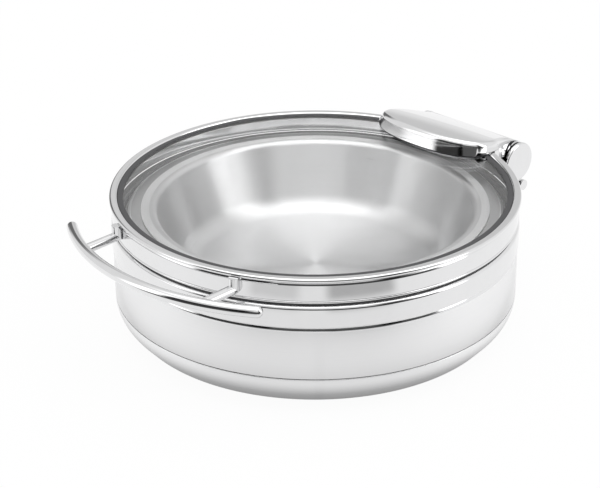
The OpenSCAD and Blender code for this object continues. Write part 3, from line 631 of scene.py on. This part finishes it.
def add_handle_post(side, word):
    """Arm from the bar, a mitred elbow and a stud up into the bead."""
    x = side * POST_X
    r = POST_D / 2
    stud_r = SKIRT_R + r + POST_GAP
    stud_y = -math.sqrt(stud_r ** 2 - POST_X ** 2)
    bar_y = -BAR_BACK - math.sqrt(BAR_R ** 2 - POST_X ** 2)
    spokes = [(r * math.cos(t), r * math.sin(t)) for t in ROUND_ANGLES]
    rings = [
        [Vector((x + u, bar_y, BAR_Z + v)) for u, v in spokes],
        [Vector((x + u, stud_y - v - ELBOW_RUN, BAR_Z + v)) for u, v in spokes],
        [Vector((x + u, stud_y - v, BAR_Z + v)) for u, v in spokes],
        [Vector((x + u, stud_y - v, BAR_Z + v + ELBOW_RUN)) for u, v in spokes],
        [Vector((x + u, stud_y - v, BEAD_Z + STUD_UP)) for u, v in spokes],
    ]
    piece("handle_stay_" + word, tube(rings), "lid", "handle_post_" + word, "polished_steel")


add_handle_bar()
for side, word in SIDES:
    add_handle_post(side, word)

# End caps of the hinge

AXIS_Y, AXIS_Z = 257 * MM, 120.3 * MM
CAP_IN, CAP_OUT, CAP_R, NECK_R, NECK_IN = 67 * MM, 72.5 * MM, 22.5 * MM, 14 * MM, 65 * MM
CAP_EDGE, CAP_CROWN, CAP_CHAMFER = 2 * MM, 300 * MM, 1 * MM
CAP_FACE_STEP, CAP_EDGE_STEP = 1, 6


def add_end_cap(side, word):
    """Neck and a disc with a rounded edge and a slightly crowned face."""
    crown = Vector((CAP_OUT - CAP_CROWN, 0))
    tilt = math.asin((CAP_R - CAP_EDGE) / (CAP_CROWN - CAP_EDGE))
    edge = crown + (CAP_CROWN - CAP_EDGE) * Vector((math.cos(tilt), math.sin(tilt)))
    face = arc(crown, CAP_CROWN, 0, math.degrees(tilt), CAP_FACE_STEP)
    rim = arc(edge, CAP_EDGE, math.degrees(tilt), 90, CAP_EDGE_STEP)
    loop = face + rim[1:] + [Vector(p) for p in (
        (CAP_IN + CAP_CHAMFER, CAP_R), (CAP_IN, CAP_R - CAP_CHAMFER), (CAP_IN, NECK_R),
        (NECK_IN, NECK_R), (NECK_IN, 0))]
    piece("hinge_cap_" + word, lathe_x(loop, side), "base", "end_cap_" + word, "polished_steel")


for side, word in SIDES:
    add_end_cap(side, word)

# Cover of the hinge

COVER_HALF, COVER_FRONT, COVER_BACK, BACK_HALF = 77.5 * MM, 158.5 * MM, 259 * MM, 61 * MM
NOSE_L, NOSE_POWER = 38 * MM, 2.3
FALL_Y, FALL_POWER, WALL_LEAN = 173.5 * MM, 1.5, 3 * MM
COVER_Z, COVER_T = 151.8 * MM, 2 * MM
CROWN_H, CROWN_DOME, CROWN_EDGE = 16.5 * MM, 2 * MM, 6 * MM
NOTCH_Y, NOTCH_H, NOTCH_L = 178.5 * MM, 4 * MM, 2 * MM
BARREL_TOP, EDGE_UP, CROWN_UP, LIP_L = 142.8 * MM, 0.6 * MM, 2.5 * MM, 9 * MM
COVER_MID = COVER_FRONT + NOSE_L
SPINE_IN = NOSE_L * 0.75
NOSE_SHARE, SIDE_SHARE = 0.5, 0.9  # of the way from the nose to the middle of the back
EDGE_SHARE = 0.8  # the most of the wall's height that the rounded edge takes
COVER_STEPS, EDGE_STEPS, CROWN_STEPS = 480, 12, 12


def cover_width(y):
    """Half the width of the cover: full round corners in front, drawn in at the back."""
    if y < COVER_MID:
        share = max(0, 1 - ((COVER_MID - y) / NOSE_L) ** NOSE_POWER)
        return COVER_HALF * share ** (1 / NOSE_POWER)
    turn = math.pi * (y - COVER_MID) / (COVER_BACK - COVER_MID)
    return BACK_HALF + (COVER_HALF - BACK_HALF) * (1 + math.cos(turn)) / 2


def cover_edge_z(y):
    """Lower edge: level in front, up over the notch, then down to the barrel."""
    if y < NOTCH_Y + NOTCH_L:
        return COVER_Z + NOTCH_H * max(0, y - NOTCH_Y) / NOTCH_L
    drop = COVER_Z + NOTCH_H - BARREL_TOP - EDGE_UP
    along = (y - NOTCH_Y - NOTCH_L) / (COVER_BACK - NOTCH_Y - NOTCH_L)
    return COVER_Z + NOTCH_H - drop * along


def crown_z(x, y):
    """Crown: domed across, and falling to the barrel at the back."""
    drop = COVER_Z + CROWN_H - BARREL_TOP - CROWN_UP
    fall = drop * (max(0, y - FALL_Y) / (COVER_BACK - FALL_Y)) ** FALL_POWER
    return COVER_Z + CROWN_H - CROWN_DOME * (x / COVER_HALF) ** 2 - fall


def cover_point(i, d, back):
    """Point of the outline moved in by d, with its back edge at a depth."""
    u = i / COVER_STEPS
    s = 2 * u if u < 0.5 else 2 - 2 * u
    along = (s - NOSE_SHARE) / (SIDE_SHARE - NOSE_SHARE)
    depth = 2 * s * s if s < NOSE_SHARE else min(1, (1 + along) / 2)
    y = COVER_FRONT + d + (back - COVER_FRONT - 2 * d) * depth
    width = cover_width(COVER_FRONT + (back - COVER_FRONT) * depth)
    across = 1 if s < SIDE_SHARE else (1 - s) / (1 - SIDE_SHARE)
    x = (width - d * min(1, width / COVER_HALF)) * across
    return Vector((x if u < 0.5 else -x, y))


def cover_outline(d, back):
    return [cover_point(i, d, back) for i in range(COVER_STEPS)]


def cover_rings(d, r, lower, back):
    """Rings from the lower edge over the rounded edge to the crown."""
    rings = [[Vector((p.x, p.y, cover_edge_z(p.y))) for p in cover_outline(d, back)]]
    for k in range(EDGE_STEPS + 1):
        a = math.pi / 2 * k / EDGE_STEPS
        ring = []
        for p in cover_outline(d + WALL_LEAN + r * (1 - math.cos(a)), back):
            top = crown_z(p.x, p.y) - lower
            e = min(r, EDGE_SHARE * (top - cover_edge_z(p.y)))
            ring.append(Vector((p.x, p.y, top - e * (1 - math.sin(a)))))
        rings.append(ring)
    inside = cover_outline(d + WALL_LEAN + r, back)
    for k in range(1, CROWN_STEPS):
        ring = []
        for p in inside:
            spine = Vector((0, min(max(p.y, COVER_FRONT + SPINE_IN), back - SPINE_IN)))
            q = p + k / CROWN_STEPS * (spine - p)
            ring.append(Vector((q.x, q.y, crown_z(q.x, q.y) - lower)))
        rings.append(ring)
    return rings


def close_crown(bm, ring):
    """Strip of faces across the middle of the crown."""
    n = len(ring)
    for i in range(n // 2):
        corners = []
        for v in (ring[i], ring[(n - i) % n], ring[n - i - 1], ring[i + 1]):
            if v not in corners:
                corners.append(v)
        if len(corners) > 2:
            bm.faces.new(corners)


def add_hinge_cover():
    """Crowned shell over the hinge arm."""
    bm = bmesh.new()
    outside = cover_rings(0, CROWN_EDGE, 0, COVER_BACK)
    inside = cover_rings(COVER_T, CROWN_EDGE - COVER_T, COVER_T, COVER_BACK - LIP_L)
    lower_edges = []
    for rings_at in (outside, inside):
        rings = [[bm.verts.new(p) for p in ring] for ring in rings_at]
        skin(bm, rings)
        close_crown(bm, rings[-1])
        lower_edges.append(rings[0])
    skin(bm, lower_edges)
    piece("hinge_cowl", bm, "lid", "hinge_cover", "polished_steel")


add_hinge_cover()

# Stage: azimuths in degrees from the handle's side, radii in metres, levels of light.
# The camera sees plain white; the levels are what the metal mirrors.

FLOOR_SIZE, FLOOR_DROP = 12.0, 0.2 * MM
FLOOR_COLOUR, FLOOR_ROUGH = (0.8, 0.8, 0.8, 1), 0.9
FLOOR_TO_CAMERA = 0.95  # the rest is lit, and shows the dish's shadow
FLOOR_LEVEL, FOOT_LEVEL, FOOT_SHADE = 1.0, 0.3, (0.18, 0.25)
FRONT_SIDES, FRONT_SOFT, FRONT_LEVEL = (0, 85), 25, 0.9
TABLE_END = (0.445, 0.485)
TABLE_GAPS = (((16, 37), 0.78), ((49, 78), 0.55))
ROOM_SIDES, ROOM_START, ROOM_LEVEL = (-24, 106), (0.6, 0.72), 0.08
GAP_SOFT = 3
WALL_LEVEL, WALL_SWING, TOP_LEVEL, TOP_START = 0.9, 0.06, 2.6, (48, 78)
# Patches of the studio: azimuths, heights and softness in degrees, and factor on the level
PATCHES = (
    ((-50, 100), (-10, 50), 8, 0.9),    # front of the tent
    ((-22, 20), (-12, 32), 3, 0.05),    # dark opening in front
    ((10, 90), (-12, 20), 3, 0.12),     # its low part, towards the right
    ((78, 112), (-12, 13), 3, 0.1),     # its end
    ((78, 98), (10, 42), 6, 0.15),      # dark screen at the right
    ((-125, -95), (-5, 35), 6, 0.2),    # dark screen at the left
    ((-170, -130), (6, 36), 6, 0.78),   # dim wall behind
    ((105, 130), (16, 58), 6, 2.5),     # bright panel at the right
    ((113, 130), (-10, 18), 3, 3.0),    # its low part
    ((-46, -24), (-5, 45), 7, 2.1),     # bright panel at the front left
)


def turn_from_handle(tree, x, y):
    """Angle about Z from the handle's side towards +X, in radians."""
    return math_node(tree, "ARCTAN2", x, math_node(tree, "MULTIPLY", y, -1))


def scaled_level(tree, level, share, factor):
    """A level times a factor, as far as the share says."""
    change = math_node(tree, "MULTIPLY", share, factor - 1)
    return math_node(tree, "MULTIPLY", level, math_node(tree, "ADD", 1, change))


def floor_level(tree):
    """Floor as the metal mirrors it, painted into its glow: bright table, painted shade under the
    foot, painted darkness past the table's end and a dark room in front.
    """
    place = object_coordinates(tree)
    x, y = split(tree, place)[:2]
    azimuth = math_node(tree, "DEGREES", turn_from_handle(tree, x, y))
    reach = length(tree, place)
    lit = math_node(tree, "MULTIPLY", rise(tree, reach, *FOOT_SHADE), FLOOR_LEVEL - FOOT_LEVEL)
    level = math_node(tree, "ADD", FOOT_LEVEL, lit)
    front = within(tree, azimuth, FRONT_SIDES, FRONT_SOFT)
    level = scaled_level(tree, level, front, FRONT_LEVEL)
    off_table = rise(tree, reach, *TABLE_END)
    in_room = rise(tree, reach, *ROOM_START)
    darker = [(*gap, off_table) for gap in TABLE_GAPS] + [(ROOM_SIDES, ROOM_LEVEL, in_room)]
    for sides, factor, beyond in darker:
        between = within(tree, azimuth, sides, GAP_SOFT)
        share = math_node(tree, "MULTIPLY", beyond, between)
        level = scaled_level(tree, level, share, factor)
    return level


def add_floor():
    """Pale floor, nearly white to the camera and through the glass, with a soft shadow."""
    mesh = bpy.data.meshes.new("floor")
    half = FLOOR_SIZE / 2
    corners = [(-half, -half, 0), (half, -half, 0), (half, half, 0), (-half, half, 0)]
    mesh.from_pydata(corners, [], [(0, 1, 2, 3)])
    material, tree, shader = new_material("floor")
    mesh.materials.append(material)
    shader.inputs["Base Color"].default_value = FLOOR_COLOUR
    shader.inputs["Roughness"].default_value = FLOOR_ROUGH
    rays = tree.nodes.new("ShaderNodeLightPath").outputs
    seen = math_node(tree, "MAXIMUM", rays["Is Camera Ray"], rays["Is Transmission Ray"])
    glow = tree.nodes.new("ShaderNodeEmission")
    tree.links.new(math_node(tree, "MAXIMUM", floor_level(tree), seen), glow.inputs["Color"])
    to_camera = math_node(tree, "MULTIPLY", seen, FLOOR_TO_CAMERA)
    mix = tree.nodes.new("ShaderNodeMixShader")
    tree.links.new(math_node(tree, "MAXIMUM", to_camera, rays["Is Glossy Ray"]), mix.inputs["Fac"])
    tree.links.new(shader.outputs[0], mix.inputs[1])
    tree.links.new(glow.outputs[0], mix.inputs[2])
    tree.links.new(mix.outputs[0], tree.nodes["Material Output"].inputs["Surface"])
    floor = bpy.data.objects.new("floor", mesh)
    floor.location.z = cad_low.z - FLOOR_DROP
    scene.collection.objects.link(floor)


def add_world():
    """White studio tent with a bright top, and bright and dark patches for the metal to mirror."""
    world = bpy.data.worlds.new("studio")
    scene.world = world
    world.use_nodes = True
    tree = world.node_tree
    place = tree.nodes.new("ShaderNodeTexCoord").outputs["Generated"]
    x, y, z = split(tree, place)
    turn = turn_from_handle(tree, x, y)
    azimuth = math_node(tree, "DEGREES", turn)
    height = math_node(tree, "DEGREES", math_node(tree, "ARCSINE", z))
    side = math_node(tree, "SINE", turn)
    walls = math_node(tree, "MULTIPLY_ADD", side, WALL_SWING, WALL_LEVEL)
    above = math_node(tree, "SUBTRACT", TOP_LEVEL, walls)
    top = rise(tree, height, *TOP_START)
    level = math_node(tree, "ADD", walls, math_node(tree, "MULTIPLY", top, above))
    for sides, heights, soft, factor in PATCHES:
        share = math_node(tree, "MULTIPLY", within(tree, azimuth, sides, soft),
                          within(tree, height, heights, soft))
        level = scaled_level(tree, level, share, factor)
    rays = tree.nodes.new("ShaderNodeLightPath").outputs
    unmirrored = math_node(tree, "LESS_THAN", rays["Glossy Depth"], 0.5)
    through = math_node(tree, "MULTIPLY", rays["Is Transmission Ray"], unmirrored)
    plain = math_node(tree, "MAXIMUM", rays["Is Camera Ray"], through)
    shown = math_node(tree, "MAXIMUM", level, plain)
    tree.links.new(shown, tree.nodes["Background"].inputs["Color"])


add_floor()
add_world()
scene.view_settings.view_transform = "Standard"
